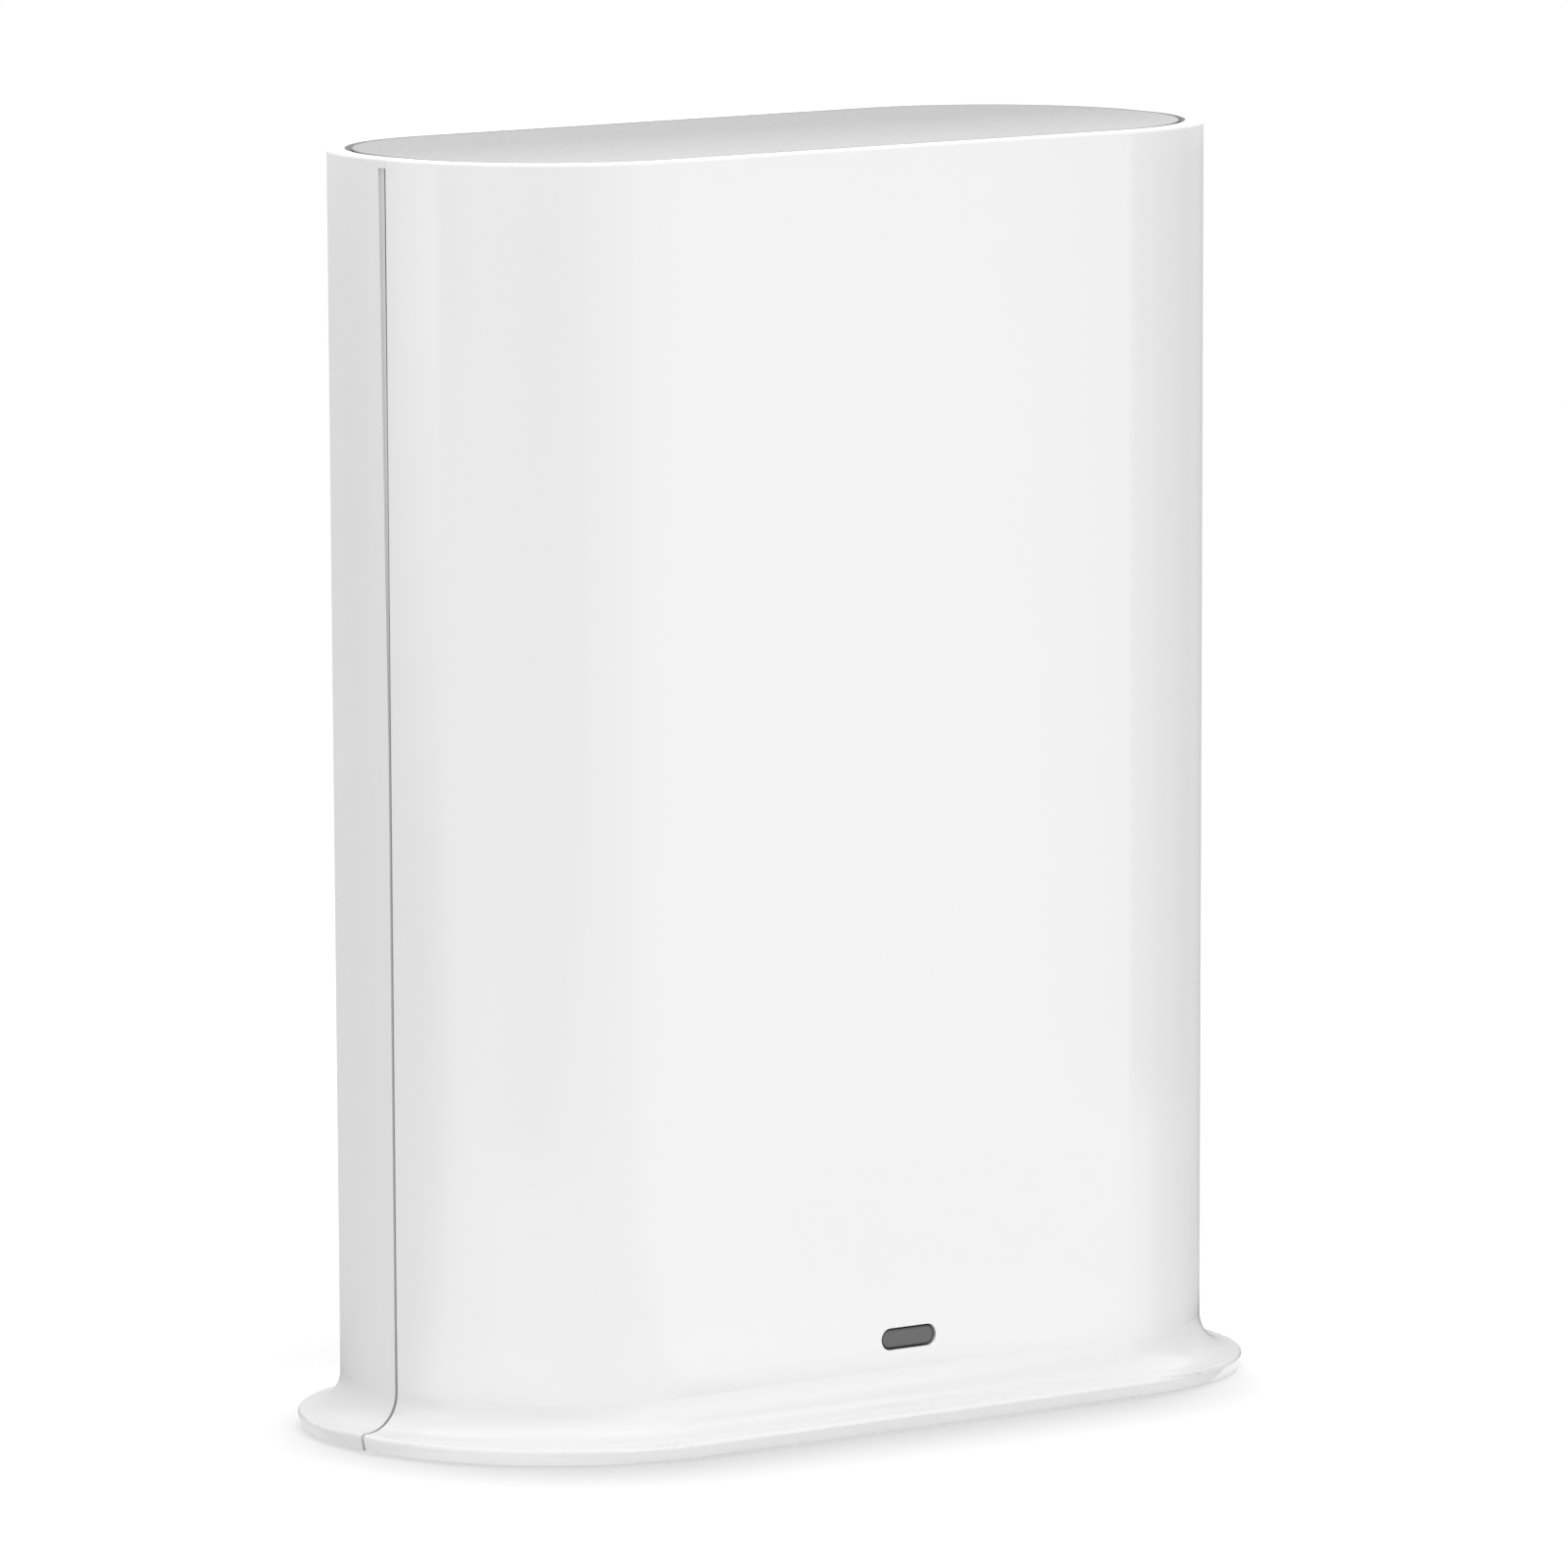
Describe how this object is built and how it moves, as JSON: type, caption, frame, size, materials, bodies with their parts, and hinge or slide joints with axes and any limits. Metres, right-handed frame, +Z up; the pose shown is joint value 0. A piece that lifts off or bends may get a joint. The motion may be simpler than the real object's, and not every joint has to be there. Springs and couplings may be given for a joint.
{
  "type": "security camera base station",
  "caption": "Free-standing white base station for wireless cameras: rounded upright case on a flared foot, inset grey top panel, front status light and a row of rear sockets.",
  "frame": {"origin": "on the table, under the middle of the case", "axes": "+Z up, +X to the right as seen from the front, -Y towards the front with the status light, +Y towards the sockets"},
  "size_m": [0.1446, 0.0706, 0.1745],
  "materials": {
    "gloss_shell": "polished white moulded plastic",
    "satin_shell": "satin white moulded plastic",
    "top_finish": "fine silver-grey metallic paint on moulded plastic",
    "base_grey": "fine-grained grey moulded plastic",
    "pad_rubber": "matt dark grey rubber",
    "screw_steel": "zinc-plated steel",
    "smoked_lens": "smoked translucent plastic",
    "clear_pipe": "clear moulded plastic",
    "led_package": "light-emitting package with a phosphor cap",
    "socket_grey": "fine-grained grey moulded plastic",
    "board_laminate": "green solder mask on glass laminate",
    "chip_black": "black moulding compound",
    "gap_pad": "soft heat-conducting pad",
    "tinned_sheet": "tinned sheet steel",
    "sink_aluminium": "plain extruded aluminium",
    "coil_ferrite": "pressed ferrite",
    "capacitor_sleeve": "aluminium can in a blue sleeve",
    "socket_black": "black moulded plastic",
    "contact_gold": "gold-plated spring brass",
    "pin_nickel": "nickel-plated brass",
    "key_grey": "light grey moulded plastic",
    "switch_body": "black moulded plastic",
    "switch_plunger": "black moulded plastic",
    "antenna_foil": "copper foil on a thin carrier",
    "lead_sleeve": "black sleeve of a thin coaxial lead"
  },
  "bodies": {
    "case": {"front_shell": "gloss_shell", "rear_shell": "satin_shell", "top_panel": "top_finish", "base_plate": "base_grey", "rubber_feet": "pad_rubber", "base_screws": "screw_steel", "status_lens": "smoked_lens", "light_pipe": "clear_pipe", "status_led": "led_package", "socket_panel": "socket_grey", "main_board": "board_laminate", "board_screws": "screw_steel", "processor": "chip_black", "memory_chips": "chip_black", "thermal_pad": "gap_pad", "shield_can": "tinned_sheet", "heat_sink": "sink_aluminium", "radio_chip": "chip_black", "radio_can": "tinned_sheet", "network_transformer": "chip_black", "power_coil": "coil_ferrite", "capacitors": "capacitor_sleeve", "network_shield": "tinned_sheet", "network_insert": "socket_black", "network_contacts": "contact_gold", "data_shell": "tinned_sheet", "data_tongue": "socket_black", "data_contacts": "contact_gold", "power_jack": "socket_black", "power_pin": "pin_nickel", "power_spring": "contact_gold", "sync_switch": "switch_body", "reset_switch": "switch_body", "antenna_left": "antenna_foil", "antenna_right": "antenna_foil", "antenna_plugs": "contact_gold", "antenna_leads": "lead_sleeve"},
    "sync_key": {"sync_button": "key_grey", "sync_plunger": "switch_plunger"},
    "reset_key": {"reset_plunger": "switch_plunger"}
  },
  "joints": [
    {"name": "sync_press", "type": "slide", "parent": "case", "child": "sync_key", "axis": [0, -1, 0], "range_m": [0, 0.0005], "stiffness_N_per_m": 2400, "springref_m": -0.0003},
    {"name": "reset_press", "type": "slide", "parent": "case", "child": "reset_key", "axis": [0, -1, 0], "range_m": [0, 0.0005], "stiffness_N_per_m": 2400, "springref_m": -0.0003}
  ]
}
